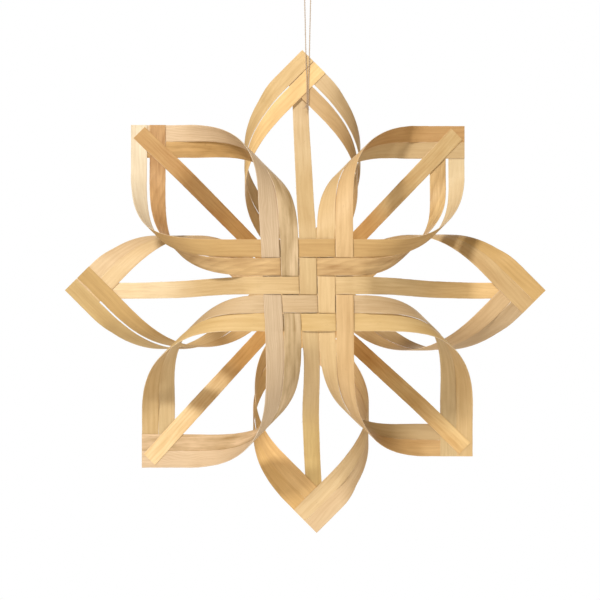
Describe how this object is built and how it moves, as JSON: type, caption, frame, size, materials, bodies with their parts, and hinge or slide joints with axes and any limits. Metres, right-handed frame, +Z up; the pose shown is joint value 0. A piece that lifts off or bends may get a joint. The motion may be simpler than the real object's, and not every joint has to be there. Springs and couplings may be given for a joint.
{
  "type": "plaited wood-strip hanging star",
  "caption": "Eight-petal hanging star plaited from flat wood strips, two woven squares joined at the petals, on a twine loop.",
  "frame": {"origin": "inside top of the twine loop, where a hook bears", "axes": "+Z up along the hanging twine, +X to the right and -Y out of the front of the star, towards the viewer"},
  "size_m": [0.4448, 0.1938, 0.5243],
  "materials": {
    "cream_wood": "raw planed veneer strip, matt",
    "golden_wood": "raw planed veneer strip, matt",
    "peach_wood": "raw planed veneer strip, matt",
    "tan_wood": "raw planed veneer strip, matt",
    "twine": "thin twisted bast-fibre twine"
  },
  "bodies": {
    "root": {"hanging_loop": "twine"},
    "star": {"front_upright_strip_1": "cream_wood", "front_upright_strip_2": "cream_wood", "front_upright_strip_3": "golden_wood", "front_upright_strip_4": "peach_wood", "front_upright_strip_5": "peach_wood", "front_level_strip_1": "golden_wood", "front_level_strip_2": "peach_wood", "front_level_strip_3": "golden_wood", "front_level_strip_4": "cream_wood", "front_level_strip_5": "golden_wood", "back_falling_strip_1": "cream_wood", "back_falling_strip_2": "golden_wood", "back_falling_strip_3": "tan_wood", "back_falling_strip_4": "peach_wood", "back_falling_strip_5": "golden_wood", "back_rising_strip_1": "golden_wood", "back_rising_strip_2": "peach_wood", "back_rising_strip_3": "tan_wood", "back_rising_strip_4": "golden_wood", "back_rising_strip_5": "cream_wood", "twine_tail": "twine", "twine_hitch": "twine", "twine_knot": "twine"}
  },
  "joints": [
    {"name": "star_turn", "type": "hinge", "parent": "root", "child": "star", "pos_m": [0, -0.0009, -0.068], "axis": [0, 0, 1], "continuous": true}
  ]
}
